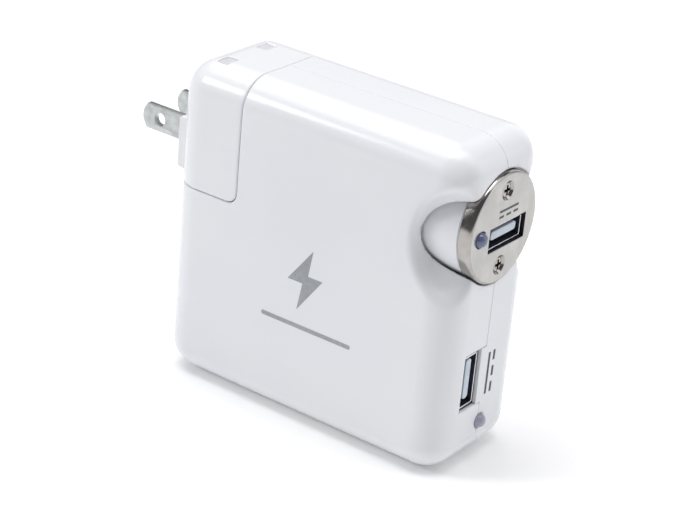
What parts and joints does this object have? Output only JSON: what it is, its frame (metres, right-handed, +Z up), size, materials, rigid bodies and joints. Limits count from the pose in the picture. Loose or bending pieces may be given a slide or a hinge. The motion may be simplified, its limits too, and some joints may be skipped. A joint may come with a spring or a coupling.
{
  "type": "usb wall charger",
  "caption": "Pocket mains charger block with a slide-off two-blade plug head, a USB-A port and a docked in-car USB charger.",
  "frame": {"origin": "centre of the bottom narrow face of the housing, the face it stands on", "axes": "+Z up, +X towards the port side and the in-car charger's cap, -Y the front face"},
  "size_m": [0.1001, 0.0328, 0.08],
  "materials": {
    "white_housing": "gloss moulded",
    "grey_insert": "satin moulded",
    "cap_metal": "satin face, polished rim",
    "blade_metal": "bare rolled",
    "plated_metal": "bright plated",
    "brass": "bare pressed",
    "lens": "translucent moulded",
    "port_plastic": "moulded",
    "black_plastic": "moulded",
    "board": "solder mask",
    "ferrite": "sintered",
    "winding_tape": "film tape",
    "copper": "enamelled wire",
    "can_sleeve": "shrink sleeve",
    "bare_aluminium": "extruded"
  },
  "bodies": {
    "housing": {"front_shell": "white_housing", "back_shell": "white_housing", "guide_button": "plated_metal", "dock_sleeve": "black_plastic", "dock_contact": "brass", "dock_earth_ring": "brass", "main_board": "board", "insulating_sheet": "grey_insert", "input_capacitor": "can_sleeve", "fuse": "grey_insert", "transformer_core": "ferrite", "transformer_coil": "winding_tape", "choke_core": "copper", "noise_capacitor": "winding_tape", "rectifier": "black_plastic", "heat_sink": "bare_aluminium", "power_switch": "black_plastic", "output_capacitor": "can_sleeve", "inlet_block": "black_plastic", "inlet_pin_front": "plated_metal", "inlet_pin_back": "plated_metal", "inlet_lead_front": "black_plastic", "inlet_lead_back": "black_plastic", "port_shell": "plated_metal", "port_tongue": "port_plastic", "port_light": "lens", "port_board": "board"},
    "plug_head": {"plug_head_shell": "white_housing", "plug_head_cover": "white_housing", "blade_front": "blade_metal", "blade_back": "blade_metal", "terminal_front": "brass", "terminal_back": "brass", "top_plug_front": "grey_insert", "top_plug_back": "grey_insert"},
    "in_car_charger": {"cap": "cap_metal", "cap_screw_upper": "plated_metal", "cap_screw_lower": "plated_metal", "cap_light": "lens", "barrel": "white_housing", "car_port_shell": "plated_metal", "car_port_tongue": "port_plastic", "car_board": "board", "car_coil": "copper", "car_capacitor": "can_sleeve", "tip_fuse": "grey_insert", "tip_spring": "plated_metal", "tip_nut": "plated_metal"},
    "nose_contact": {"tip_pin": "plated_metal"},
    "earth_contact_front": {"side_contact_front": "plated_metal"},
    "earth_contact_back": {"side_contact_back": "plated_metal"}
  },
  "joints": [
    {"name": "plug_head_slide", "type": "slide", "parent": "housing", "child": "plug_head", "axis": [0, 0, 1], "range_m": [0, 0.042]},
    {"name": "in_car_charger_slide", "type": "slide", "parent": "housing", "child": "in_car_charger", "axis": [1, 0, 0], "range_m": [0, 0.056]},
    {"name": "nose_contact_press", "type": "slide", "parent": "in_car_charger", "child": "nose_contact", "axis": [1, 0, 0], "range_m": [0, 0.0015], "stiffness_N_per_m": 300, "springref_m": -0.001},
    {"name": "earth_contact_front_press", "type": "slide", "parent": "in_car_charger", "child": "earth_contact_front", "axis": [0, 1, 0], "range_m": [0, 0.0009], "stiffness_N_per_m": 300, "springref_m": -0.001},
    {"name": "earth_contact_back_press", "type": "slide", "parent": "in_car_charger", "child": "earth_contact_back", "axis": [0, -1, 0], "range_m": [0, 0.0009], "stiffness_N_per_m": 300, "springref_m": -0.001}
  ]
}
